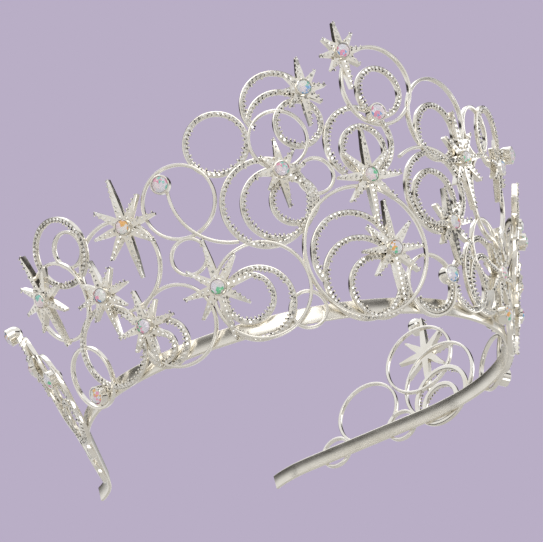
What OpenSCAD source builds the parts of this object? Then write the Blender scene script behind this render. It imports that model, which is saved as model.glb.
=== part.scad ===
// Crown of rings, crescent moons and eight-pointed stars on a horseshoe head band.
// The band's path and the flaring wall that carries the ornaments are worked out first.
// Every ornament is a flat casting, placed on that wall by its distance along the band and its height.

/* [Band] */
// Height of the head band
band_h = 5; // [4.5:0.1:7]
// Thickness of the head band
band_t = 1.2; // [0.8:0.1:1.6]
// Radius of the front of the head
front_r = 73; // [70:0.5:76]
// Radius of the sides of the head
side_r = 54; // [52:0.5:56]
// Height of the band's lower edge above the lowest ornament
foot = 3.05; // [3.05:0.05:6]
// Distance from the origin forward to the front of the band
front_y = 63.2; // [60:0.1:70]

/* [Wall] */
// Outward lean of the ornaments at the front, in degrees
front_lean = 12.5; // [8:0.5:16]
// Outward lean of the ornaments at the sides, in degrees
side_lean = 18; // [12:0.5:22]
// How far the ornaments' backs sit into the band's outer face
inset = 0.4; // [0.2:0.1:0.6]

/* [Rings] */
// Width of a plain ring's strip
plain_w = 1; // [0.9:0.1:1.6]
// Depth of a plain ring's strip
plain_d = 1.5; // [1.4:0.1:2.4]
// Width of a stone-set strip
pave_w = 1.8; // [1.4:0.1:2.2]
// Depth of a stone-set strip
pave_d = 1.7; // [1.7:0.1:2.8]
// Chamfer along the edges of every strip
edge = 0.3; // [0.1:0.05:0.4]

/* [Stars] */
// Depth of a star's spikes
star_d = 2; // [1.6:0.1:2.4]
// Width of a spike where it leaves the middle
spike_w = 2.1; // [1.8:0.1:2.6]
// Width of a spike's blunt tip
tip_w = 0.7; // [0.6:0.1:1.2]
// Radius of the cup in the middle of a star
seat_r = 2.5; // [2.2:0.1:2.8]
// Radius of the crystal in a star
star_crystal_r = 2.1; // [1.7:0.05:2.2]

/* [Bezels] */
// Outer radius of a bezel cup
cup_r = 2.9; // [2.7:0.1:3.2]
// Length of a bezel cup, with its round back
cup_len = 5; // [4.5:0.1:6]
// Radius of the crystal in a bezel cup
crystal_r = 2.4; // [2.1:0.05:2.5]

/* [Hidden] */
$fn = 64;
gap = 0.05;

// The band's right half, from the front centre to the tip: [length, radius of the bend].
// Radius 0 is straight, and a negative radius bends outwards.
bends = [[81.5, front_r], [54, side_r], [45.5, 0], [17, -32]];
half_band = 198;

// Spike lengths of a star: [up, down, level, slanting]
big = [15, 16, 10.5, 10.5];
middle = [11, 13, 9.5, 8.5];
small = [9.5, 11.5, 7, 7];

// Stars across the front: [along the band, height, turn, spikes]
front_stars = [
    [-7.5, 80, 8, small], [-19, 69.5, 2, small], [-28.5, 46, 2, small], [-5, 41.5, 2, big], [-1, 19, 4, big],
    [29.5, 50.5, 16, big], [21.5, 28.5, 10, middle], [-52, 16.5, 3, big], [47, 18, -3, big],
    [51, 54.5, 0, small]
];
// Stars on both sides, mirrored
side_stars = [
    [71, 43, 0, big], [83.5, 27.5, 0, middle], [75, 13.5, 0, middle], [102.5, 37, 0, big], [132.5, 29, 0, big]
];

// Plain rings across the front: [along the band, height, radius, start angle, end angle]
front_rings = [
    [-27.5, 55.5, 8.8], [-9, 19, 19.8], [1.5, 70, 12.2], [20.5, 62, 12.6], [39, 62.5, 8],
    [15.5, 34, 17.8, 30, 130], [-40.5, 12.5, 14.2], [45, 42.5, 13.5]
];
// Plain rings on both sides, mirrored
side_rings = [
    [66.5, 10, 12], [76.5, 33, 13.5], [98, 33, 12], [128, 15, 14.2], [134.5, 27, 12.8], [156.5, 14, 11.5]
];
// Small plain rings, all alike: [along the band, height]
small_r = 5.4;
small_places = [
    [-29, 4], [-19.5, 43], [-57.5, 28], [58, 30], [-88.5, 45], [88.5, 45],
    [-144, 3.5], [144, 3.5], [-170.5, 3.5], [170.5, 3.5]
];

// Medium plain rings, all alike: [along the band, height]
medium_r = 9.4;
medium_places = [[12, 8.5], [40.5, 24.5], [-101, 8.5], [101, 8.5]];

// Stone-set rings across the front: [along the band, height, radius, start angle, end angle]
front_pave_rings = [
    [2, 68, 7.5], [20, 57.5, 8.6], [-21.5, 59.5, 7], [-26.5, 36.5, 6.8], [12, 8.5, 8, 215, 385],
    [-43, 58, 9.2], [47.5, 64, 9.2], [29.5, 11, 8.5]
];
// Stone-set rings on both sides, mirrored
side_pave_rings = [[88, 12.5, 12], [91, 45.5, 10.2]];

// Crescent moons across the front, each a list of stone-set arcs
front_moons = [
    [[-34, 37.5, 13], [-31, 36.5, 10.5]],
    [[-26.5, 66, 9.8, -25, 215], [-26, 60, 9.8, 15, 165]],
    [[-6, 52, 11, -55, 235], [-5, 50, 7.2]],
    [[-13, 18.5, 12.5, -6, 214], [-11, 11, 12.2], [-6.5, 8, 9.2]],
    [[17.5, 38, 12.4], [17, 36, 8.6]],
    [[-42.5, 9, 10.5], [-44.5, 11, 7]],
    [[38, 15, 12], [38.5, 12.5, 9]]
];
// Crescent moons on both sides, mirrored
side_moons = [
    [[71.5, 6.5, 6.8], [73.5, 6, 4.5]],
    [[127.5, 8.5, 10.5], [128, 6, 6.8]]
];

// The plain crescent: its outer ring, and the arc that closes it
plain_arcs = [[-56, 44.5, 11], [-42, 46.5, 18.5, 172, 265]];

// Bezel cups: [along the band, height]
bezels = [
    [-1, 60.5], [17, 11.5], [-58.5, 50.5], [57, 61], [46, 4], [76, 40], [-99, 2.5], [99, 2.5],
    [-118, 18], [-133.5, 43], [135, 43]
];

function named(name, list) = [for (i = [1 : len(list)]) str(name, i)];

// One bend of the band's path: where it ends, as [x, y, heading]
function bent(p, length, r) =
    r == 0
        ? [p.x + length * cos(p.z), p.y + length * sin(p.z), p.z]
        : let (a = p.z + length / r * 180 / PI)
            [p.x + r * (sin(a) - sin(p.z)), p.y + r * (cos(p.z) - cos(a)), a];

// The point at a distance along the right half of the band
function walk(u, i = 0, p = [0, -front_y, 0]) =
    i == len(bends) - 1 || u <= bends[i][0]
        ? bent(p, u, bends[i][1])
        : walk(u - bends[i][0], i + 1, bent(p, bends[i][0], bends[i][1]));

// The same on either half: negative distances are on the left
function along(u) = let (p = walk(abs(u)), side = u < 0 ? -1 : 1) [side * p.x, p.y, side * p.z];

function smooth(t) = t <= 0 ? 0 : t >= 1 ? 1 : t * t * (3 - 2 * t);
function lean(u) = front_lean + (side_lean - front_lean) * smooth((abs(u) - 40) / 60);

// Puts its children on the flaring wall: X runs along the band, Y up the wall and Z outwards
module on_wall(u, v) {
    p = along(u);
    translate([p.x, p.y, foot])
        rotate([0, 0, p.z])
            rotate([90 + lean(u), 0, 0])
                translate([0, v, -inset])
                    children();
}

// Cross-section of a strip, with chamfered edges
module strip_profile(w, d) {
    polygon([
        [-w / 2, 0], [w / 2, 0], [w / 2, d - edge], [w / 2 - edge, d], [-w / 2 + edge, d], [-w / 2, d - edge]
    ]);
}

// One ring or arc of a strip on the wall
module hoop(place, w, d, side = 1) {
    from = place[3] == undef ? 0 : place[3];
    to = place[4] == undef ? 360 : place[4];
    on_wall(side * place[0], place[1])
        rotate([0, 0, side > 0 ? from : 180 - to])
            rotate_extrude(angle = to - from)
                translate([place[2], 0])
                    strip_profile(w, d);
}

// Outline of the band from above: out along its outer face and back along its inner face
function band_edge(depth) = [
    for (u = [-half_band : 2 : half_band])
        let (p = along(u)) [p.x - depth * sin(p.z), p.y + depth * cos(p.z)]
];

module band() {
    inner = band_edge(band_t);
    color("gainsboro")
        translate([0, 0, foot])
            linear_extrude(height = band_h)
                polygon(concat(band_edge(0), [for (i = [len(inner) - 1 : -1 : 0]) inner[i]]));
}

module plain_ring(place, side = 1) {
    color("silver") hoop(place, plain_w, plain_d, side);
}

module plain_moon() {
    color("silver")
        for (arc = plain_arcs)
            hoop(arc, plain_w, plain_d);
}

module like_rings(places, r) {
    color("silver")
        for (place = places)
            hoop([place[0], place[1], r], plain_w, plain_d);
}

module pave_ring(place, side = 1) {
    color("lightgray") hoop(place, pave_w, pave_d, side);
}

module moon(arcs, side = 1) {
    color("lightgray")
        for (arc = arcs)
            hoop(arc, pave_w, pave_d, side);
}

// Outline of a star's spike, from its right edge to the notch on its left.
// It narrows a little halfway and ends in a blunt tip.
notch = spike_w / 2 / tan(22.5);
halfway = 0.55;
waist = 0.46;
function spike(length, angle) = [
    for (q = [[length * halfway, -spike_w * waist], [length, -tip_w / 2], [length, tip_w / 2],
              [length * halfway, spike_w * waist], [notch, spike_w / 2]])
        [q.x * cos(angle) - q.y * sin(angle), q.x * sin(angle) + q.y * cos(angle)]
];

function star_outline(spikes) = [
    for (k = [0 : 7])
        for (q = spike(k == 2 ? spikes[0] : k == 6 ? spikes[1] : k % 2 == 0 ? spikes[2] : spikes[3], k * 45))
            q
];

star_base = 0.8;
seat_h = 1.3;

module star(place, side = 1) {
    color("lightgray")
        on_wall(side * place[0], place[1])
            rotate([0, 0, side * place[2]])
                difference() {
                    union() {
                        translate([0, 0, star_base]) linear_extrude(height = star_d) polygon(star_outline(place[3]));
                        translate([0, 0, star_base]) cylinder(r = seat_r, h = star_d + seat_h);
                    }
                    translate([0, 0, star_base + star_d]) cylinder(r = star_crystal_r + gap, h = seat_h + 1);
                }
}

// A cut crystal: girdle, sloping crown and flat table
module crystal(r, girdle, crown) {
    cylinder(r = r, h = girdle);
    translate([0, 0, girdle]) cylinder(r1 = r, r2 = r * 0.55, h = crown);
}

module star_crystal(place, side = 1) {
    on_wall(side * place[0], place[1])
        translate([0, 0, star_base + star_d])
            crystal(star_crystal_r, seat_h - 0.2, 0.8);
}

module star_crystals() {
    color("lightcyan") {
        for (place = front_stars) star_crystal(place);
        for (place = side_stars, side = [-1, 1]) star_crystal(place, side);
    }
}

crystal_seat = 1.4;

module bezel_cup(place) {
    on_wall(place[0], place[1])
        difference() {
            union() {
                intersection() {
                    translate([0, 0, cup_r]) sphere(r = cup_r);
                    cylinder(r = cup_r + 1, h = cup_r);
                }
                translate([0, 0, cup_r]) cylinder(r = cup_r, h = cup_len - cup_r);
            }
            translate([0, 0, cup_len - crystal_seat]) cylinder(r = crystal_r + gap, h = crystal_seat + 1);
        }
}

module bezel_cups() {
    color("silver")
        for (place = bezels) bezel_cup(place);
}

module bezel_crystal(place) {
    on_wall(place[0], place[1])
        translate([0, 0, cup_len - crystal_seat])
            crystal(crystal_r, crystal_seat - 0.2, 0.9);
}

module bezel_crystals() {
    color("lightcyan")
        for (place = bezels) bezel_crystal(place);
}

band();
bezel_cups();
bezel_crystals();
star_crystals();
like_rings(small_places, small_r);  // small_rings
like_rings(medium_places, medium_r);  // medium_rings
plain_moon();
for (i = [1 : len(front_stars)])
    star(front_stars[i - 1]);
for (i = [1 : len(side_stars)]) {
    star(side_stars[i - 1], -1);
    star(side_stars[i - 1], 1);
}
for (i = [1 : len(front_rings)])
    plain_ring(front_rings[i - 1]);
for (i = [1 : len(side_rings)])
    for (side = [-1, 1]) plain_ring(side_rings[i - 1], side);
for (i = [1 : len(front_pave_rings)])
    pave_ring(front_pave_rings[i - 1]);
for (i = [1 : len(side_pave_rings)])
    for (side = [-1, 1]) pave_ring(side_pave_rings[i - 1], side);
for (i = [1 : len(front_moons)])
    moon(front_moons[i - 1]);
for (i = [1 : len(side_moons)])
    for (side = [-1, 1]) moon(side_moons[i - 1], side);
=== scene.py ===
import math

import bmesh
import bpy
from mathutils import Matrix, Vector


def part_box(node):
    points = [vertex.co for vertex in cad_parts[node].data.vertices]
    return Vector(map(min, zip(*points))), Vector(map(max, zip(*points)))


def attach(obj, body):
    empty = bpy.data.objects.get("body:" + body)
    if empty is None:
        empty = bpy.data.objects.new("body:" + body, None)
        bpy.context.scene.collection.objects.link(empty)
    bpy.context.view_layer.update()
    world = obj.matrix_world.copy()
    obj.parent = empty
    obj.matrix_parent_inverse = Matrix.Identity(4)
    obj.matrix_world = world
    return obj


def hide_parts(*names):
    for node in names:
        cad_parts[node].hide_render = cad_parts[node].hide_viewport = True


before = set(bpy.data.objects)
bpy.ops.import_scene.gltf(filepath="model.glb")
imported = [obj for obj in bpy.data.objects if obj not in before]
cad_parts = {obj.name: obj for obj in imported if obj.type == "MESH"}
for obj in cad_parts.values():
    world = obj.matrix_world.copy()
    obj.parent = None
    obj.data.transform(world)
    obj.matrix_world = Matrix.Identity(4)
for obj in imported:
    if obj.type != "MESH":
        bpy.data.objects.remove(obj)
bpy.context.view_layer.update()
print("frame loaded:", len(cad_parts), "castings")

mm = 0.001


def srgb(hexText, alpha=1.0):
    # sRGB hex to the linear colour that shaders work in
    parts = [int(hexText[i:i + 2], 16) / 255 for i in (1, 3, 5)]
    return tuple(c / 12.92 if c <= 0.04045 else ((c + 0.055) / 1.055) ** 2.4 for c in parts) + (alpha,)


def addNode(tree, kind, links=None, **settings):
    # one node, with its settings, and its sockets linked or set
    node = tree.nodes.new(kind)
    for name, value in settings.items():
        setattr(node, name, value)
    for socket, source in (links or {}).items():
        if isinstance(source, bpy.types.NodeSocket):
            tree.links.new(source, node.inputs[socket])
        else:
            node.inputs[socket].default_value = source
    return node


def smoothStep(t):
    t = min(max(t, 0), 1)
    return t * t * (3 - 2 * t)


def newMaterial(name):
    material = bpy.data.materials.new(name)
    material.use_nodes = True
    tree = material.node_tree
    tree.nodes.clear()
    shader = addNode(tree, "ShaderNodeBsdfPrincipled")
    out = addNode(tree, "ShaderNodeOutputMaterial", {"Surface": shader.outputs["BSDF"]})
    out.location = (400, 0)
    return material, tree, shader


def rampColours(ramp, stops):
    # replaces a colour ramp's stops
    while len(ramp.elements) > 1:
        ramp.elements.remove(ramp.elements[-1])
    ramp.elements[0].position, ramp.elements[0].color = stops[0]
    for place, colour in stops[1:]:
        ramp.elements.new(place).color = colour


rhodium = {
    # plain strips, polished after casting: crisp light and dark bands
    "polished": {"light": "#FBF8F1", "shade": "#EFEBE2", "rough": (0.07, 0.15),
                 "rippleMm": 2.6, "rippleDepthMm": 0.03, "strength": 0.3},
    # head band, plated over a brushed strip: soft even sheen
    "satin": {"light": "#F8F4EB", "shade": "#F0ECE2", "rough": (0.2, 0.26),
              "rippleMm": 9, "rippleDepthMm": 0.02, "strength": 0.15},
    # castings that carry the stones: rippled, so they break up reflections, with a dark recess colour that
    # paints shade into the channel floors and the seats between the stones
    "cast": {"light": "#FAF7F0", "shade": "#ECE7DC", "rough": (0.08, 0.18),
             "rippleMm": 2.0, "rippleDepthMm": 0.06, "strength": 0.3, "recessShade": "#26241F"},
    "cloudMm": 7,  # size of the faint lighter and darker clouds in the plate
}


def makeRhodium(name, finish):
    # rhodium over a cast white alloy: nearly white, a little warm, with faint casting ripples
    material, tree, shader = newMaterial(name)
    place = addNode(tree, "ShaderNodeTexCoord")
    ripple = addNode(tree, "ShaderNodeTexNoise", {
        "Vector": place.outputs["Object"], "Scale": 1 / (finish["rippleMm"] * mm),
        "Detail": 3.0, "Roughness": 0.55})
    cloud = addNode(tree, "ShaderNodeTexNoise", {
        "Vector": place.outputs["Object"], "Scale": 1 / (rhodium["cloudMm"] * mm), "Detail": 2.0})
    tone = addNode(tree, "ShaderNodeValToRGB", {"Fac": cloud.outputs["Fac"]})
    rampColours(tone.color_ramp, [(0.3, srgb(finish["shade"])), (0.65, srgb(finish["light"]))])
    rough = addNode(tree, "ShaderNodeMapRange", {
        "Value": ripple.outputs["Fac"], "From Min": 0.3, "From Max": 0.7,
        "To Min": finish["rough"][0], "To Max": finish["rough"][1]})
    bump = addNode(tree, "ShaderNodeBump", {
        "Height": ripple.outputs["Fac"], "Distance": finish["rippleDepthMm"] * mm,
        "Strength": finish["strength"]})
    shader.inputs["Metallic"].default_value = 1.0
    colour = tone.outputs["Color"]
    if "recessShade" in finish:  # painted shade on the channel floor and the seats, where shade falls between the stones
        depth = addNode(tree, "ShaderNodeAttribute", attribute_name="recessShade")
        seat = addNode(tree, "ShaderNodeAttribute", attribute_name="seatLight")
        shadeShare = addNode(tree, "ShaderNodeMath", {0: 1.0, 1: seat.outputs["Fac"]}, operation="SUBTRACT")
        dark = addNode(tree, "ShaderNodeMath", {
            0: depth.outputs["Fac"], 1: shadeShare.outputs["Value"]}, operation="MULTIPLY", use_clamp=True)
        # mixes the painted shade colour into the plate, as far as the recess and the seat allow
        mixed = addNode(tree, "ShaderNodeMixRGB", {
            "Fac": dark.outputs["Value"], "Color1": colour, "Color2": srgb(finish["recessShade"])})
        colour = mixed.outputs["Color"]
    tree.links.new(colour, shader.inputs["Base Color"])
    tree.links.new(rough.outputs["Result"], shader.inputs["Roughness"])
    tree.links.new(bump.outputs["Normal"], shader.inputs["Normal"])
    return material


polishedRhodium = makeRhodium("polishedRhodiumPlate", rhodium["polished"])
satinRhodium = makeRhodium("satinRhodiumBand", rhodium["satin"])
castRhodium = makeRhodium("castRhodiumSetting", rhodium["cast"])


def makeRhinestone():
    # foil-backed clear glass stones: each facet mirrors something else, and each stone has its own tone
    material, tree, shader = newMaterial("foilBackedRhinestone")
    tone = addNode(tree, "ShaderNodeAttribute", attribute_name="stoneTone")
    shades = addNode(tree, "ShaderNodeValToRGB", {"Fac": tone.outputs["Fac"]})
    rampColours(shades.color_ramp, [
        (0.0, srgb("#A9A7A3")), (0.1, srgb("#E4E2DD")), (0.4, srgb("#FAF8F4")), (1.0, srgb("#FFFEFB"))])
    tree.links.new(shades.outputs["Color"], shader.inputs["Base Color"])
    shader.inputs["Metallic"].default_value = 0.82
    shader.inputs["Roughness"].default_value = 0.06
    shader.inputs["Coat Weight"].default_value = 0.6
    shader.inputs["Coat Roughness"].default_value = 0.03
    return material


def makeAurora():
    # round cut glass with a vapour-coated rainbow film: each facet takes one pastel of the film
    material, tree, shader = newMaterial("auroraCoatedCrystal")
    tint = addNode(tree, "ShaderNodeAttribute", attribute_name="facetTint")
    film = addNode(tree, "ShaderNodeValToRGB", {"Fac": tint.outputs["Fac"]})
    rampColours(film.color_ramp, [
        (0.0, srgb("#F1EEF4")), (0.14, srgb("#FBFAF8")), (0.28, srgb("#EFE9F7")), (0.4, srgb("#FBE9F1")),
        (0.5, srgb("#4FD394")), (0.62, srgb("#6DB3F5")), (0.72, srgb("#FF9AC2")), (0.84, srgb("#FFB93F")),
        (0.94, srgb("#7EDDCF"))])
    film.color_ramp.interpolation = "CONSTANT"
    place = addNode(tree, "ShaderNodeTexCoord")
    drift = addNode(tree, "ShaderNodeTexNoise", {
        "Vector": place.outputs["Object"], "Scale": 1 / (1.6 * mm), "Detail": 1.0})
    swirl = addNode(tree, "ShaderNodeValToRGB", {"Fac": drift.outputs["Fac"]})
    rampColours(swirl.color_ramp, [
        (0.35, srgb("#F5F2F6")), (0.48, srgb("#BDE9DC")), (0.58, srgb("#F3D5E4")), (0.7, srgb("#F6EECB"))])
    blend = addNode(tree, "ShaderNodeMixRGB", {
        "Fac": 0.2, "Color1": film.outputs["Color"], "Color2": swirl.outputs["Color"]})
    tree.links.new(blend.outputs["Color"], shader.inputs["Base Color"])
    shader.inputs["Metallic"].default_value = 0.08
    shader.inputs["Roughness"].default_value = 0.12
    shader.inputs["Coat Weight"].default_value = 0.5
    shader.inputs["Coat Roughness"].default_value = 0.02
    return material


rhinestone = makeRhinestone()
aurora = makeAurora()
print("materials ready")

bandLow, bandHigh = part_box("band")
band = {
    "bends": [(81.5, 73), (54, 54), (45.5, 0), (17, -32)],  # length and radius in mm, front centre to tip
    "half": 198,        # length of each half of the band
    "step": 2,          # from one cross-section to the next
    "thick": 1.2,
    "corner": 0.35,
    "foot": bandLow.z / mm,
    "front": -bandLow.y / mm,
    "tall": (bandHigh.z - bandLow.z) / mm,
    "frontLean": 12.5,  # outward lean of the ornaments, in degrees
    "sideLean": 18,
    "leanFrom": 40,     # where the lean starts to grow, and over what length it does
    "leanOver": 60,
    "inset": 0.4,       # how far the ornaments' backs sit into the band's outer face
}


def bendOn(point, length, radius):
    x, y, heading = point
    if radius == 0:
        return x + length * math.cos(heading), y + length * math.sin(heading), heading
    turned = heading + length / radius
    return (x + radius * (math.sin(turned) - math.sin(heading)),
            y + radius * (math.cos(heading) - math.cos(turned)), turned)


def alongBand(u):
    # point and heading at a distance along the band, negative on the left
    side, left, point = (-1 if u < 0 else 1), abs(u), (0, -band["front"], 0)
    for i, (length, radius) in enumerate(band["bends"]):
        if i == len(band["bends"]) - 1 or left <= length:
            point = bendOn(point, left, radius)
            break
        left -= length
        point = bendOn(point, length, radius)
    return side * point[0], point[1], side * point[2]


def onWall(u, v):
    # frame on the flaring wall: X along the band, Y up the wall, Z outwards, in mm
    x, y, heading = alongBand(u)
    change = smoothStep((abs(u) - band["leanFrom"]) / band["leanOver"])
    lean = band["frontLean"] + (band["sideLean"] - band["frontLean"]) * change
    turn = Matrix.Rotation(heading, 4, "Z") @ Matrix.Rotation(math.radians(90 + lean), 4, "X")
    return Matrix.Translation((x, y, band["foot"])) @ turn @ Matrix.Translation((0, v, -band["inset"]))


def roundedProfile(width, depth, corner, steps=3):
    # closed outline of a strip: width across, depth from 0 outwards
    right, outer = width / 2 - corner, depth - corner
    points = []
    corners = ((right, corner, -90), (right, outer, 0), (-right, outer, 90), (-right, corner, 180))
    for cx, cy, start in corners:
        for k in range(steps + 1):
            a = math.radians(start + 90 * k / steps)
            points.append((cx + corner * math.cos(a), cy + corner * math.sin(a)))
    return points


def ringOf(bm, radius, height, count, turn=0, centre=(0, 0), place=Matrix.Identity(4)):
    # evenly spaced vertices round a centre, the first turned by some degrees
    made = []
    for k in range(count):
        a = math.radians(360 / count * k + turn)
        spot = (centre[0] + radius * math.cos(a), centre[1] + radius * math.sin(a), height)
        made.append(bm.verts.new(place @ Vector(spot)))
    return made
def sweepRows(bm, rows, closed):
    # skins rows of points into a tube, caps it if it is open, and returns its faces side by side
    made = [[bm.verts.new(p) for p in row] for row in rows]
    count = len(made[0])
    skin = [[] for k in range(count)]
    for i in range(len(made) if closed else len(made) - 1):
        near, far = made[i], made[(i + 1) % len(made)]
        for k in range(count):
            skin[k].append(bm.faces.new((near[k], near[(k + 1) % count], far[(k + 1) % count], far[k])))
    if not closed:
        bm.faces.new(made[0])
        bm.faces.new(made[-1][::-1])
    return skin


def meshFrom(bm, name, smooth=False):
    # ends a piece's mesh code: faces outwards, and millimetres made metres
    bmesh.ops.recalc_face_normals(bm, faces=bm.faces)
    for face in bm.faces:
        face.smooth = smooth
    mesh = bpy.data.meshes.new(name)
    bm.to_mesh(mesh)
    bm.free()
    mesh.transform(Matrix.Scale(mm, 4))
    return mesh


def finishMesh(bm, name, sharpAngle=35):
    # a smooth piece that keeps its sharp edges
    mesh = meshFrom(bm, name, True)
    mesh.set_sharp_from_angle(angle=math.radians(sharpAngle))
    return mesh


def showPiece(mesh, name, material, slot, *nodes):
    piece = bpy.data.objects.new(name, mesh)
    bpy.context.scene.collection.objects.link(piece)
    if material is not None:
        mesh.materials.clear()
        mesh.materials.append(material)
    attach(piece, "root")
    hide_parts(*nodes)
    return piece


def makeBand():
    bm = bmesh.new()
    profile = roundedProfile(band["thick"], band["tall"], band["corner"])
    rows = []
    for k in range(2 * band["half"] // band["step"] + 1):
        x, y, heading = alongBand(band["step"] * k - band["half"])
        inward = Vector((-math.sin(heading), math.cos(heading), 0))
        middle = Vector((x, y, band["foot"])) + inward * band["thick"] / 2
        rows.append([middle + inward * a + Vector((0, 0, b)) for a, b in profile])
    sweepRows(bm, rows, False)
    return showPiece(finishMesh(bm, "headBand"), "headBand", satinRhodium, "band_metal", "band")


makeBand()
print("band made")

plainStrip = {"width": 1, "depth": 1.5, "corner": 0.26, "segments": 96}

# along the band, height and radius in mm, and start and end angles where it is an arc
plainRings = {
    "front": [(-27.5, 55.5, 8.8), (-9, 19, 19.8), (1.5, 70, 12.2), (20.5, 62, 12.6), (39, 62.5, 8),
              (15.5, 34, 17.8, 30, 130), (-40.5, 12.5, 14.2), (45, 42.5, 13.5)],
    "pair": [(66.5, 10, 12), (76.5, 33, 13.5), (98, 33, 12), (128, 15, 14.2), (134.5, 27, 12.8),
             (156.5, 14, 11.5)],
    "smallRadius": 5.4,
    "small": [(-29, 4), (-19.5, 43), (-57.5, 28), (58, 30), (-88.5, 45), (88.5, 45),
              (-144, 3.5), (144, 3.5), (-170.5, 3.5), (170.5, 3.5)],
    "mediumRadius": 9.4,
    "medium": [(12, 8.5), (40.5, 24.5), (-101, 8.5), (101, 8.5)],
    "crescent": [(-56, 44.5, 11), (-42, 46.5, 18.5, 172, 265)],
}


def arcAngles(place, side=1):
    start, end = place[3:] if len(place) > 3 else (0, 360)
    if side < 0:
        start, end = 180 - end, 180 - start
    return start, end


def sweepArc(bm, place, profile, segments, side=1):
    # a strip bent into a ring or arc, flat on the wall
    start, end = arcAngles(place, side)
    closed = end - start >= 360
    frameHere = onWall(side * place[0], place[1])
    count = max(6, round(segments * (end - start) / 360))  # a short arc still gets six steps
    rows = []
    for k in range(count if closed else count + 1):
        a = math.radians(start + (end - start) * k / count)
        row = []
        for w, d in profile:
            r = place[2] + w
            row.append(frameHere @ Vector((r * math.cos(a), r * math.sin(a), d)))
        rows.append(row)
    return sweepRows(bm, rows, closed)


def makePlain(name, node, places):
    bm = bmesh.new()
    profile = roundedProfile(plainStrip["width"], plainStrip["depth"], plainStrip["corner"])
    for place, side in places:
        sweepArc(bm, place, profile, plainStrip["segments"], side)
    return showPiece(finishMesh(bm, name), name, polishedRhodium, "polished_metal", node)


for i, place in enumerate(plainRings["front"], 1):
    makePlain(f"plainRingFront{i}", f"ring_front_{i}", [(place, 1)])
for i, place in enumerate(plainRings["pair"], 1):
    makePlain(f"plainRingPair{i}", f"ring_pair_{i}", [(place, -1), (place, 1)])
for name, node, size in (("smallRings", "small_rings", "small"), ("mediumRings", "medium_rings", "medium")):
    makePlain(name, node, [((*spot, plainRings[size + "Radius"]), 1) for spot in plainRings[size]])
makePlain("plainCrescent", "plain_moon", [(p, 1) for p in plainRings["crescent"]])
print("plain rings made")

setting = {
    "pitch": 1.45,        # from one stone to the next, in mm, as every length here
    "stoneRadius": 0.6,
    "stoneTall": 0.42,
    "stoneProfile": [(0.78, -0.28, 0), (1, 0, 0), (0.58, 1, 22.5)],  # shares of those two, and a turn
    "beadRadius": 0.35,
    "beadProfile": [(1, -0.6), (0.95, 0.25), (0.55, 0.85)],  # shares of that radius
    "acrossStrip": 0.74,  # from the middle of a strip or a spike to its beads
    "acrossSpike": 0.64,
    "seatRadius": 0.23,   # the seats, small prisms dark with painted shade that show in pairs between two stones
    "seatApart": 0.32,
    "seatFoot": -0.1,
    "seatTop": 0.2,
    "seatShade": 0.6,     # a seat's painted shade is up to this much lighter than the recess colour, and half are not lighter
    "tiltDegrees": 22,    # every stone leans by this about both its level axes, and its beads about one
    "strayMm": 0.16,      # every stone and bead is moved by this along each axis
    "twistDegrees": 32,   # turn of every pair of beads and its seats
    "smallest": 0.7,      # scale of the smallest and largest beads and seats
    "largest": 1.18,
}


def stoneMesh():
    # flat table, sixteen crown facets and a flat back
    bm = bmesh.new()
    rings = []
    for radius, height, turn in setting["stoneProfile"]:
        rings.append(ringOf(bm, radius * setting["stoneRadius"], height * setting["stoneTall"], 8, turn))
    back, girdle, table = rings
    for k in range(8):
        n = (k + 1) % 8
        bm.faces.new((back[k], back[n], girdle[n], girdle[k]))
        bm.faces.new((girdle[k], girdle[n], table[k]))
        bm.faces.new((table[k], girdle[n], table[n]))
    bm.faces.new(back[::-1])
    bm.faces.new(table)
    return meshFrom(bm, "stone")


def beadMesh(across):
    # the pair of prong beads that a stone shares with the next, and the pair of seats between them, dark
    # with painted shade
    bm = bmesh.new()
    recessShade = bm.faces.layers.float.new("recessShade")
    middle, size = setting["pitch"] / 2, setting["beadRadius"]
    for side in (-1, 1):
        spot = (middle, side * across)
        rings = [ringOf(bm, r * size, h * size, 6, 0, spot) for r, h in setting["beadProfile"]]
        tip = bm.verts.new((*spot, size))
        for low, high in zip(rings, rings[1:]):
            for k in range(6):
                n = (k + 1) % 6
                bm.faces.new((low[k], low[n], high[n], high[k]))
        for k in range(6):
            bm.faces.new((rings[-1][k], rings[-1][(k + 1) % 6], tip))
        bm.faces.new(rings[0][::-1])
    for side in (-1, 1):
        spot = (middle, side * setting["seatApart"])
        low = ringOf(bm, setting["seatRadius"], setting["seatFoot"], 6, 0, spot)
        high = ringOf(bm, setting["seatRadius"], setting["seatTop"], 6, 0, spot)
        faces = [bm.faces.new(high), bm.faces.new(low[::-1])]
        for k in range(6):
            n = (k + 1) % 6
            faces.append(bm.faces.new((low[k], low[n], high[n], high[k])))
        # the seats take the full painted shade of the recess colour
        for face in faces:
            face[recessShade] = 1.0
    return meshFrom(bm, "beads", True)


def helperObject(mesh, name):
    # source for Geometry Nodes only: in no collection, so it never shows
    return bpy.data.objects.new(name, mesh)


stoneSource = helperObject(stoneMesh(), "stoneSource")
stripBeads = helperObject(beadMesh(setting["acrossStrip"]), "stripBeads")
spikeBeads = helperObject(beadMesh(setting["acrossSpike"]), "spikeBeads")


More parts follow.
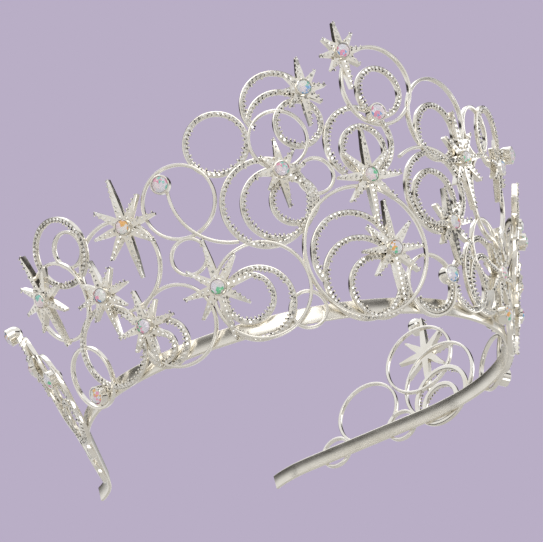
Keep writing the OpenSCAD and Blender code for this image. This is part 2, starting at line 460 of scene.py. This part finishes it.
def buildSettingTree():
    tree = bpy.data.node_groups.new("stoneSetting", "GeometryNodeTree")
    sockets = tree.interface
    inputs = {
        "Path": "NodeSocketGeometry", "Pitch": "NodeSocketFloat", "Tilt": "NodeSocketFloat",
        "Stray": "NodeSocketFloat", "Twist": "NodeSocketFloat", "Smallest": "NodeSocketFloat",
        "Largest": "NodeSocketFloat", "Seed": "NodeSocketInt", "Stone": "NodeSocketObject",
        "Beads": "NodeSocketObject", "Casting": "NodeSocketObject",
        "Stone Material": "NodeSocketMaterial", "Metal Material": "NodeSocketMaterial",
    }
    for name, kind in inputs.items():
        sockets.new_socket(name, in_out="INPUT", socket_type=kind)
    sockets.new_socket("Geometry", in_out="OUTPUT", socket_type="NodeSocketGeometry")
    given = addNode(tree, "NodeGroupInput").outputs
    curve = addNode(tree, "GeometryNodeMeshToCurve", {"Mesh": given["Path"]})
    spaced = addNode(tree, "GeometryNodeResampleCurve", {
        "Curve": curve.outputs["Curve"], "Length": given["Pitch"]}, mode="LENGTH")
    outward = addNode(tree, "GeometryNodeInputNamedAttribute", {"Name": "wallNormal"},
                      data_type="FLOAT_VECTOR")
    tangent = addNode(tree, "GeometryNodeInputTangent")
    size = addNode(tree, "GeometryNodeInputNamedAttribute", {"Name": "stoneSize"}, data_type="FLOAT")
    facing = addNode(tree, "FunctionNodeAxesToRotation", {
        "Primary Axis": outward.outputs["Attribute"], "Secondary Axis": tangent.outputs["Tangent"]},
        primary_axis="Z", secondary_axis="X")

    # the random draws, each with its own distance from the seed
    spread = setting["seatShade"]
    draws = {}
    for label, least, most, further in (("scale", given["Smallest"], given["Largest"], 400),
                                        ("shade", 0.0, 1.0, 500), ("seat", -spread, spread, 600)):
        seed = addNode(tree, "ShaderNodeMath", {0: given["Seed"], 1: further}, operation="ADD")
        drawn = addNode(tree, "FunctionNodeRandomValue", {
            "Min": least, "Max": most, "Seed": seed.outputs["Value"]}, data_type="FLOAT")
        draws[label] = drawn.outputs["Value"]

    strayed = addNode(tree, "GeometryNodeSetPosition", {
        "Geometry": spaced.outputs["Curve"], "Offset": given["Stray"]})
    uneven = addNode(tree, "ShaderNodeMath", {
        0: size.outputs["Attribute"], 1: draws["scale"]}, operation="MULTIPLY")

    def placed(source, scale):
        info = addNode(tree, "GeometryNodeObjectInfo", {"Object": source}, transform_space="ORIGINAL")
        return addNode(tree, "GeometryNodeInstanceOnPoints", {
            "Points": strayed.outputs["Geometry"], "Instance": info.outputs["Geometry"],
            "Rotation": facing.outputs["Rotation"], "Scale": scale}).outputs["Instances"]

    tilt = addNode(tree, "ShaderNodeCombineXYZ", {"X": given["Tilt"], "Y": given["Tilt"]})
    stones = addNode(tree, "GeometryNodeRotateInstances", {
        "Instances": placed(given["Stone"], size.outputs["Attribute"]), "Rotation": tilt.outputs["Vector"]})
    toned = addNode(tree, "GeometryNodeStoreNamedAttribute", {
        "Geometry": stones.outputs["Instances"], "Name": "stoneTone", "Value": draws["shade"]},
        data_type="FLOAT", domain="INSTANCE")
    turn = addNode(tree, "ShaderNodeCombineXYZ", {"X": given["Tilt"], "Z": given["Twist"]})
    beads = addNode(tree, "GeometryNodeRotateInstances", {
        "Instances": placed(given["Beads"], uneven.outputs[0]), "Rotation": turn.outputs["Vector"]})
    # how far each seat's painted shade is lightened, drawn at random per pair of seats
    shaded = addNode(tree, "GeometryNodeStoreNamedAttribute", {
        "Geometry": beads.outputs["Instances"], "Name": "seatLight", "Value": draws["seat"]},
        data_type="FLOAT", domain="INSTANCE")
    stonesReal = addNode(tree, "GeometryNodeRealizeInstances", {"Geometry": toned.outputs["Geometry"]})
    stonesDone = addNode(tree, "GeometryNodeSetMaterial", {
        "Geometry": stonesReal.outputs["Geometry"], "Material": given["Stone Material"]})
    casting = addNode(tree, "GeometryNodeObjectInfo", {"Object": given["Casting"]},
                      transform_space="ORIGINAL")
    metal = addNode(tree, "GeometryNodeJoinGeometry")
    tree.links.new(shaded.outputs["Geometry"], metal.inputs["Geometry"])
    tree.links.new(casting.outputs["Geometry"], metal.inputs["Geometry"])
    metalReal = addNode(tree, "GeometryNodeRealizeInstances", {"Geometry": metal.outputs["Geometry"]})
    metalDone = addNode(tree, "GeometryNodeSetMaterial", {
        "Geometry": metalReal.outputs["Geometry"], "Material": given["Metal Material"]})
    both = addNode(tree, "GeometryNodeJoinGeometry")
    tree.links.new(stonesDone.outputs["Geometry"], both.inputs["Geometry"])
    tree.links.new(metalDone.outputs["Geometry"], both.inputs["Geometry"])
    addNode(tree, "NodeGroupOutput", {"Geometry": both.outputs["Geometry"]})
    return tree


settingTree = buildSettingTree()
settingInputs = {}
for socket in settingTree.interface.items_tree:
    if socket.in_out == "INPUT":
        settingInputs[socket.name] = socket.identifier


def pathMesh(name, lines):
    # lines of (points, wall normal, closed, size at the end), in mm, as edges that carry the wall's normal
    mesh = bpy.data.meshes.new(name)
    points, edges, normals, sizes = [], [], [], []
    for line, normal, closed, last in lines:
        first = len(points)
        sizes += [1 + (last - 1) * k / (len(line) - 1) for k in range(len(line))]
        points += [p * mm for p in line]
        normals += [normal] * len(line)
        edges += [(first + k, first + k + 1) for k in range(len(line) - 1)]
        if closed:
            edges.append((first + len(line) - 1, first))
    mesh.from_pydata(points, edges, [])
    stored = mesh.attributes.new("wallNormal", "FLOAT_VECTOR", "POINT")
    stored.data.foreach_set("vector", [c for n in normals for c in n])
    mesh.attributes.new("stoneSize", "FLOAT", "POINT").data.foreach_set("value", sizes)
    return mesh


def setStones(name, node, lines, castingMesh, beads, seed):
    # runs the setting tree on a path, and keeps its result as a plain mesh
    host = bpy.data.objects.new(name + "Path", pathMesh(name + "Path", lines))
    bpy.context.scene.collection.objects.link(host)
    casting = helperObject(castingMesh, name + "Casting")
    modifier = host.modifiers.new("setting", "NODES")
    modifier.node_group = settingTree
    values = {
        "Pitch": setting["pitch"] * mm, "Stray": setting["strayMm"] * mm,
        "Tilt": math.radians(setting["tiltDegrees"]), "Twist": math.radians(setting["twistDegrees"]),
        "Smallest": setting["smallest"], "Largest": setting["largest"], "Seed": seed,
        "Stone": stoneSource, "Beads": beads, "Casting": casting,
        "Stone Material": rhinestone, "Metal Material": castRhodium,
    }
    for label, value in values.items():
        modifier[settingInputs[label]] = value
    graph = bpy.context.evaluated_depsgraph_get()
    mesh = bpy.data.meshes.new_from_object(host.evaluated_get(graph), depsgraph=graph)
    mesh.name = name
    host.modifiers.remove(modifier)
    bpy.data.objects.remove(host)
    bpy.data.objects.remove(casting)
    return showPiece(mesh, name, None, "pave_metal", node)


# the first seed of each kind of piece, from which its pieces count up
seeds = {"ringFront": 10, "ringPair": 20, "moonFront": 30, "moonPair": 40,
         "starFront": 50, "starLeft": 70, "starRight": 80}

pave = {
    "width": 1.6,
    "depth": 1.3,
    "corner": 0.16,
    "cornerSteps": 2,
    "segments": 96,
    "pathSegments": 72,   # of the line that the stones follow
    "stoneHeight": 1.3,
    "channel": 0.9,       # width of the channel for the stones
    "sunk": 0.12,         # its depth
    "channelShade": 0.2,  # how far the channel takes the recess colour, as painted shade
}
# the strip's outline turns both right-hand corners before it reaches the channel
pave["channelStart"] = 2 * (pave["cornerSteps"] + 1)

paveRings = {
    "front": [(2, 68, 7.5), (20, 57.5, 8.6), (-21.5, 59.5, 7), (-26.5, 36.5, 6.8), (12, 8.5, 8, 215, 385),
              (-43, 58, 9.2), (47.5, 64, 9.2), (29.5, 11, 8.5)],
    "pair": [(88, 12.5, 12), (91, 45.5, 10.2)],
}

moons = {
    "front": [
        [(-34, 37.5, 13), (-31, 36.5, 10.5)],
        [(-26.5, 66, 9.8, -25, 215), (-26, 60, 9.8, 15, 165)],
        [(-6, 52, 11, -55, 235), (-5, 50, 7.2)],
        [(-13, 18.5, 12.5, -6, 214), (-11, 11, 12.2), (-6.5, 8, 9.2)],
        [(17.5, 38, 12.4), (17, 36, 8.6)],
        [(-42.5, 9, 10.5), (-44.5, 11, 7)],
        [(38, 15, 12), (38.5, 12.5, 9)],
    ],
    "pair": [
        [(71.5, 6.5, 6.8), (73.5, 6, 4.5)],
        [(127.5, 8.5, 10.5), (128, 6, 6.8)],
    ],
}


def arcLine(place, side=1):
    # the line that an arc's stones follow
    start, end = arcAngles(place, side)
    closed = end - start >= 360
    frameHere = onWall(side * place[0], place[1])
    count = round(pave["pathSegments"] * (end - start) / 360)
    radius, height = place[2], pave["stoneHeight"]
    line = []
    for k in range(count if closed else count + 1):
        a = math.radians(start + (end - start) * k / count)
        line.append(frameHere @ Vector((radius * math.cos(a), radius * math.sin(a), height)))
    return line, frameHere.to_3x3() @ Vector((0, 0, 1)), closed, 1


def channelProfile():
    # the strip's outline, with a shallow channel in its face for the stones
    points = roundedProfile(pave["width"], pave["depth"], pave["corner"], pave["cornerSteps"])
    half, floor = pave["channel"] / 2, pave["depth"] - pave["sunk"]
    channel = [(half, pave["depth"]), (half, floor), (-half, floor), (-half, pave["depth"])]
    start = pave["channelStart"]
    return points[:start] + channel + points[start:]


def makePave(name, node, places, seed):
    bm = bmesh.new()
    recessShade = bm.faces.layers.float.new("recessShade")
    start = pave["channelStart"]
    for place, side in places:
        skin = sweepArc(bm, place, channelProfile(), pave["segments"], side)
        for strip in skin[start:start + 3]:  # the channel's two walls and its floor, darkened with painted shade
            for face in strip:
                face[recessShade] = pave["channelShade"]
    setStones(name, node, [arcLine(place, side) for place, side in places],
              finishMesh(bm, name + "Casting"), stripBeads, seed)


for i, place in enumerate(paveRings["front"], 1):
    makePave(f"paveRingFront{i}", f"pave_ring_front_{i}", [(place, 1)], seeds["ringFront"] + i)
for i, place in enumerate(paveRings["pair"], 1):
    makePave(f"paveRingPair{i}", f"pave_ring_pair_{i}", [(place, -1), (place, 1)], seeds["ringPair"] + i)
for i, arcs in enumerate(moons["front"], 1):
    makePave(f"moonFront{i}", f"moon_front_{i}", [(arc, 1) for arc in arcs], seeds["moonFront"] + i)
for i, arcs in enumerate(moons["pair"], 1):
    bothSides = [(arc, side) for arc in arcs for side in (-1, 1)]
    makePave(f"moonPair{i}", f"moon_pair_{i}", bothSides, seeds["moonPair"] + i)
print("stone-set rings and moons made")

# spike lengths in mm: up, down, level and slanting
spikes = {"big": (15, 16, 10.5, 10.5), "middle": (11, 13, 9.5, 8.5), "small": (9.5, 11.5, 7, 7)}

stars = {
    # along the band, height, turn in degrees, and which spikes
    "front": [(-7.5, 80, 8, "small"), (-19, 69.5, 2, "small"), (-28.5, 46, 2, "small"),
              (-5, 41.5, 2, "big"), (-1, 19, 4, "big"), (29.5, 50.5, 16, "big"), (21.5, 28.5, 10, "middle"),
              (-52, 16.5, 3, "big"), (47, 18, -3, "big"), (51, 54.5, 0, "small")],
    "side": [(71, 43, 0, "big"), (83.5, 27.5, 0, "middle"), (75, 13.5, 0, "middle"), (102.5, 37, 0, "big"),
             (132.5, 29, 0, "big")],
    "base": 0.8,          # height of a star's back above the backs of the rings
    "depth": 2,
    "spikeWidth": 2.1,
    "tipWidth": 0.7,
    "halfway": 0.55,      # share of a spike's length at which it narrows
    "waist": 0.46,        # half its width there, as a share of the full width
    "bevel": 0.18,
    "cupRadius": 2.5,
    "cupRise": 1.3,
    "cupSegments": 40,
    "crystalRadius": 2.1,
    "clearance": 0.06,    # between a crystal and its cup
    "stoneInset": 0.6,    # from the cup and from a spike's tip to the line of stones
    "tipStone": 0.85,     # scale of the last stone on a spike
}


def spikeLengths(kind):
    up, down, level, slanting = spikes[kind]
    return [up if k == 2 else down if k == 6 else level if k % 2 == 0 else slanting for k in range(8)]


def starOutline(kind):
    width, tip = stars["spikeWidth"], stars["tipWidth"]
    notch = width / 2 / math.tan(math.radians(22.5))
    middle, waist = stars["halfway"], width * stars["waist"]
    points = []
    for k, length in enumerate(spikeLengths(kind)):
        a = math.radians(45 * k)
        spike = ((length * middle, -waist), (length, -tip / 2), (length, tip / 2), (length * middle, waist),
                 (notch, width / 2))
        for x, y in spike:
            points.append((x * math.cos(a) - y * math.sin(a), x * math.sin(a) + y * math.cos(a)))
    return points


def latheRows(bm, profile, segments, frameHere):
    # turns a profile of (radius, height) round Z, and closes it at the axis
    rows = []
    for radius, height in profile:
        if radius == 0:
            rows.append([bm.verts.new(frameHere @ Vector((0, 0, height)))])
        else:
            rows.append(ringOf(bm, radius, height, segments, place=frameHere))
    for low, high in zip(rows, rows[1:]):
        for k in range(segments):
            n = (k + 1) % segments
            corners = [low[k % len(low)], low[n % len(low)], high[n % len(high)], high[k % len(high)]]
            unique = [v for j, v in enumerate(corners) if v not in corners[:j]]
            bm.faces.new(unique)


def starFrame(place, side):
    return onWall(side * place[0], place[1]) @ Matrix.Rotation(math.radians(side * place[2]), 4, "Z")


def starCup(base, top):
    # outline of the cup from its back to its floor, with every rim eased a little
    rise, outer = top + stars["cupRise"], stars["cupRadius"]
    inner = stars["crystalRadius"] + stars["clearance"]
    return [(0, base + 0.02), (outer - 0.2, base + 0.02), (outer, base + 0.25), (outer, rise - 0.2),
            (outer - 0.08, rise - 0.03), (inner + 0.08, rise), (inner, rise - 0.12), (inner, top + 0.1),
            (0, top + 0.1)]


def makeStar(name, node, place, side, seed):
    frameHere = starFrame(place, side)
    base, top = stars["base"], stars["base"] + stars["depth"]
    bm = bmesh.new()
    outline = starOutline(place[3])
    low = [bm.verts.new((x, y, base)) for x, y in outline]
    high = [bm.verts.new((x, y, top)) for x, y in outline]
    count = len(outline)
    for k in range(count):
        bm.faces.new((low[k], low[(k + 1) % count], high[(k + 1) % count], high[k]))
    bm.faces.new(low[::-1])
    bm.faces.new(high)
    rim = [e for e in bm.edges if len({round(v.co.z, 3) for v in e.verts}) == 1]
    bmesh.ops.bevel(bm, geom=rim, offset=stars["bevel"], segments=2, affect="EDGES", profile=0.6)
    bmesh.ops.transform(bm, matrix=frameHere, verts=bm.verts)
    latheRows(bm, starCup(base, top), stars["cupSegments"], frameHere)
    normal = frameHere.to_3x3() @ Vector((0, 0, 1))
    lines = []
    for k, length in enumerate(spikeLengths(place[3])):
        a = math.radians(45 * k)
        line = []
        for r in (stars["cupRadius"] + stars["stoneInset"], length - stars["stoneInset"]):
            line.append(frameHere @ Vector((r * math.cos(a), r * math.sin(a), top)))
        lines.append((line, normal, False, stars["tipStone"]))
    setStones(name, node, lines, finishMesh(bm, name + "Casting"), spikeBeads, seed)


for i, place in enumerate(stars["front"], 1):
    makeStar(f"starFront{i}", f"star_front_{i}", place, 1, seeds["starFront"] + i)
for i, place in enumerate(stars["side"], 1):
    makeStar(f"starLeft{i}", f"star_left_{i}", place, -1, seeds["starLeft"] + i)
    makeStar(f"starRight{i}", f"star_right_{i}", place, 1, seeds["starRight"] + i)
print("stars made")

bezels = {
    # along the band, and height
    "places": [(-1, 60.5), (17, 11.5), (-58.5, 50.5), (57, 61), (46, 4), (76, 40), (-99, 2.5), (99, 2.5),
               (-118, 18), (-133.5, 43), (135, 43)],
    "radius": 2.9,
    "length": 5,
    "seat": 1.4,        # depth of the hollow that holds the crystal
    "segments": 40,
    "crystalRadius": 2.4,
    "clearance": 0.05,  # between a crystal and its cup
}


def bezelCup():
    # outline of a cup from the middle of its domed back to its floor, with a thin rolled lip
    radius, length = bezels["radius"], bezels["length"]
    bore, floor = bezels["crystalRadius"] + bezels["clearance"], length - bezels["seat"]
    outline = [(0, 0)]
    for degrees in range(10, 91, 10):
        a = math.radians(degrees)
        outline.append((radius * math.sin(a), radius - radius * math.cos(a)))
    outline += [(radius, length - 0.55), (radius + 0.03, length - 0.4), (radius + 0.03, length - 0.18),
                (radius - 0.1, length - 0.02), (bore + 0.1, length), (bore, length - 0.12)]
    return outline + [(bore, floor), (0, floor)]


def makeBezels():
    bm = bmesh.new()
    for u, v in bezels["places"]:
        latheRows(bm, bezelCup(), bezels["segments"], onWall(u, v))
    showPiece(finishMesh(bm, "bezelCups"), "bezelCups", polishedRhodium, "polished_metal", "bezel_cups")


cutting = {
    "table": 0.55,      # radius of the table, as a share of the crystal's
    "middle": 0.82,     # radius and height at which the crown's facets meet
    "middleRise": 0.58,
    "bezelCrown": 0.9,  # height of the crown, in mm
    "starCrown": 0.8,
    "below": 0.2,       # from the rim of the cup down to the girdle
    "turnEach": 0.7,    # turn from one crystal to the next, in radians
}


def patchTint(angle, seed):
    # broad patches round a crystal: two narrow strong tints side by side, and two wide pale ones
    def chance(k):
        # a repeatable number from 0 to 1
        return (math.sin(12.9898 * (k + 1) + 78.233 * seed) * 43758.5453) % 1

    part = (angle / 360 + chance(1)) % 1
    if part < 0.26:
        return 0.5 + 0.5 * chance(2 if part < 0.15 else 3)
    return 0.5 * chance(4 if part < 0.62 else 5)


def cutCrystal(bm, tints, radius, girdle, crown, frameHere, seed):
    # round cut: table, eight star facets, eight kites, sixteen lower facets and a girdle
    top = girdle + crown
    table = ringOf(bm, radius * cutting["table"], top, 8, place=frameHere)
    middle = ringOf(bm, radius * cutting["middle"], girdle + crown * cutting["middleRise"], 8, 22.5,
                    place=frameHere)
    edge = ringOf(bm, radius, girdle, 16, place=frameHere)
    foot = ringOf(bm, radius, 0, 16, place=frameHere)
    centre = bm.verts.new(frameHere @ Vector((0, 0, top)))
    bm.faces.new(foot[::-1])
    for k in range(8):
        n = (k + 1) % 8
        here = 45 * k + 22.5
        left, between, right = edge[2 * k], edge[2 * k + 1], edge[(2 * k + 2) % 16]
        facets = [
            ((table[k], table[n], centre), here),
            ((table[k], middle[k], table[n]), here + 35),
            ((table[k], middle[k - 1], left, middle[k]), here - 40),
            ((middle[k], left, between), here + 60),
            ((middle[k], between, right), here + 80),
        ]
        for corners, angle in facets:
            bm.faces.new(corners)[tints] = patchTint(angle, seed)
    for k in range(16):
        n = (k + 1) % 16
        bm.faces.new((foot[k], foot[n], edge[n], edge[k]))[tints] = patchTint(22.5 * k, seed)


def makeCrystals(name, node, radius, girdle, crown, frames):
    bm = bmesh.new()
    tints = bm.faces.layers.float.new("facetTint")
    for seed, frameHere in enumerate(frames, 1):
        turned = frameHere @ Matrix.Rotation(cutting["turnEach"] * seed, 4, "Z")
        cutCrystal(bm, tints, radius, girdle, crown, turned, seed)
    showPiece(meshFrom(bm, name), name, aurora, "crystal", node)


makeBezels()

bezelFloor = Matrix.Translation((0, 0, bezels["length"] - bezels["seat"]))
bezelSeats = [onWall(u, v) @ bezelFloor for u, v in bezels["places"]]
makeCrystals("bezelCrystals", "bezel_crystals", bezels["crystalRadius"], bezels["seat"] - cutting["below"],
             cutting["bezelCrown"], bezelSeats)

starFloor = Matrix.Translation((0, 0, stars["base"] + stars["depth"]))
starSeats = [starFrame(place, 1) @ starFloor for place in stars["front"]]
for place in stars["side"]:
    starSeats += [starFrame(place, side) @ starFloor for side in (-1, 1)]
makeCrystals("starCrystals", "star_crystals", stars["crystalRadius"], stars["cupRise"] - cutting["below"],
             cutting["starCrown"], starSeats)
print("bezels and crystals made")

studio = {
    "floorDrop": 1.35,  # metres below the object, out of the way of a view from below
    "floorHalf": 6,     # half the floor's side
    "floor": "#E9E7E3",
    "card": "#2C2A28",
    "backdrop": "#B9AEC6",
    "skyPower": 0.84,
    "aim": (0, 0, 0.04),  # what the lights and cards face
    "viewFrom": (-0.3696, -0.5724, -0.229),
    "azimuth": -32.845,   # the camera's direction and roll, in degrees
    "elevation": -22.107,
    "roll": -14.413,
    "lens": 150.3,
}

# place, width, height, watts and colour
softboxes = {
    "frontSoftbox": ((-0.5, -1.1, 0.55), 0.8, 0.6, 2.6, "#FFFDF8"),
    "lowSoftbox": ((-0.1, -0.7, -0.75), 0.5, 0.35, 1.0, "#FFFFFF"),
    "rightSoftbox": ((1.0, -0.2, 0.3), 0.4, 0.7, 0.8, "#FBFCFF"),
    "topSoftbox": ((0.1, 0.3, 1.1), 0.7, 0.7, 1.6, "#FFFFFF"),
}

# place, width and height of the dark cards that give the metal its dark accents
flags = {
    "flagLeft": ((-0.75, 0.3, -0.05), 0.05, 0.9),
    "flagRight": ((0.95, -0.45, -0.1), 0.12, 1.0),
    "flagFront": ((-0.1, -1.0, 0.05), 0.05, 1.0),
    "flagLow": ((0.15, -0.6, -0.45), 0.06, 0.6),
}


def makeCard(name, half, materialName, colour):
    # a flat square of matt paper or card
    bm = bmesh.new()
    bmesh.ops.create_grid(bm, x_segments=1, y_segments=1, size=half)
    mesh = bpy.data.meshes.new(name)
    bm.to_mesh(mesh)
    bm.free()
    card = bpy.data.objects.new(name, mesh)
    bpy.context.scene.collection.objects.link(card)
    material, tree, shader = newMaterial(materialName)
    shader.inputs["Base Color"].default_value = srgb(colour)
    shader.inputs["Roughness"].default_value = 0.9
    mesh.materials.append(material)
    return card


def faceObject(thing, place):
    # puts a light or card at a place, turned towards the object
    thing.location = place
    thing.rotation_mode = "QUATERNION"
    thing.rotation_quaternion = (Vector(studio["aim"]) - Vector(place)).to_track_quat("-Z", "Y")


def makeFloor():
    floor = makeCard("paleFloor", studio["floorHalf"], "palePaper", studio["floor"])
    floor.location.z = -studio["floorDrop"]


def makeSoftbox(name, place, width, height, watts, colour):
    light = bpy.data.lights.new(name, "AREA")
    light.shape, light.size, light.size_y = "RECTANGLE", width, height
    light.energy, light.color = watts, srgb(colour)[:3]
    lamp = bpy.data.objects.new(name, light)
    faceObject(lamp, place)
    bpy.context.scene.collection.objects.link(lamp)


def makeFlag(name, place, width, height):
    flag = makeCard(name, 0.5, "darkCard", studio["card"])
    flag.scale = (width, height, 1)
    faceObject(flag, place)
    flag.visible_camera = False


def makeSky():
    world = bpy.data.worlds.new("studioAir")
    world.use_nodes = True
    tree = world.node_tree
    tree.nodes.clear()
    place = addNode(tree, "ShaderNodeTexCoord")
    height = addNode(tree, "ShaderNodeSeparateXYZ", {"Vector": place.outputs["Generated"]})
    upward = addNode(tree, "ShaderNodeMapRange", {
        "Value": height.outputs["Z"], "From Min": -1.0, "From Max": 1.0})
    tent = addNode(tree, "ShaderNodeValToRGB", {"Fac": upward.outputs["Result"]})
    rampColours(tent.color_ramp, [
        (0.0, srgb("#4A4744")), (0.33, srgb("#7A7672")), (0.41, srgb("#E9E6E0")), (0.62, srgb("#FFFFFF")),
        (0.69, srgb("#3F3C39")), (0.76, srgb("#3F3C39")), (0.81, srgb("#FFFFFF")), (1.0, srgb("#FFFFFF"))])
    air = addNode(tree, "ShaderNodeBackground", {
        "Color": tent.outputs["Color"], "Strength": studio["skyPower"]})
    backdrop = addNode(tree, "ShaderNodeBackground", {
        "Color": srgb(studio["backdrop"]), "Strength": 1.0})
    seen = addNode(tree, "ShaderNodeLightPath")
    both = addNode(tree, "ShaderNodeMixShader", {
        0: seen.outputs["Is Camera Ray"], 1: air.outputs["Background"], 2: backdrop.outputs["Background"]})
    addNode(tree, "ShaderNodeOutputWorld", {"Surface": both.outputs["Shader"]})
    bpy.context.scene.world = world


def makeCamera():
    azimuth, elevation, roll = (math.radians(studio[k]) for k in ("azimuth", "elevation", "roll"))
    back = Vector((math.sin(azimuth) * math.cos(elevation), -math.cos(azimuth) * math.cos(elevation),
                   math.sin(elevation)))
    level = Vector((math.cos(azimuth), math.sin(azimuth), 0))
    upright = back.cross(level)
    across = level * math.cos(roll) + upright * math.sin(roll)
    upward = upright * math.cos(roll) - level * math.sin(roll)
    data = bpy.data.cameras.new("camera")
    data.lens, data.sensor_width = studio["lens"], 36
    data.clip_start, data.clip_end = 0.01, 50
    camera = bpy.data.objects.new("camera", data)
    place = Matrix((across, upward, back)).transposed().to_4x4()
    place.translation = studio["viewFrom"]
    camera.matrix_world = place
    bpy.context.scene.collection.objects.link(camera)
    bpy.context.scene.camera = camera


bpy.context.scene.view_settings.view_transform = "Standard"
makeFloor()
makeSky()
for name, (place, width, height, watts, colour) in softboxes.items():
    makeSoftbox(name, place, width, height, watts, colour)
for name, (place, width, height) in flags.items():
    makeFlag(name, place, width, height)
makeCamera()
print("studio ready")
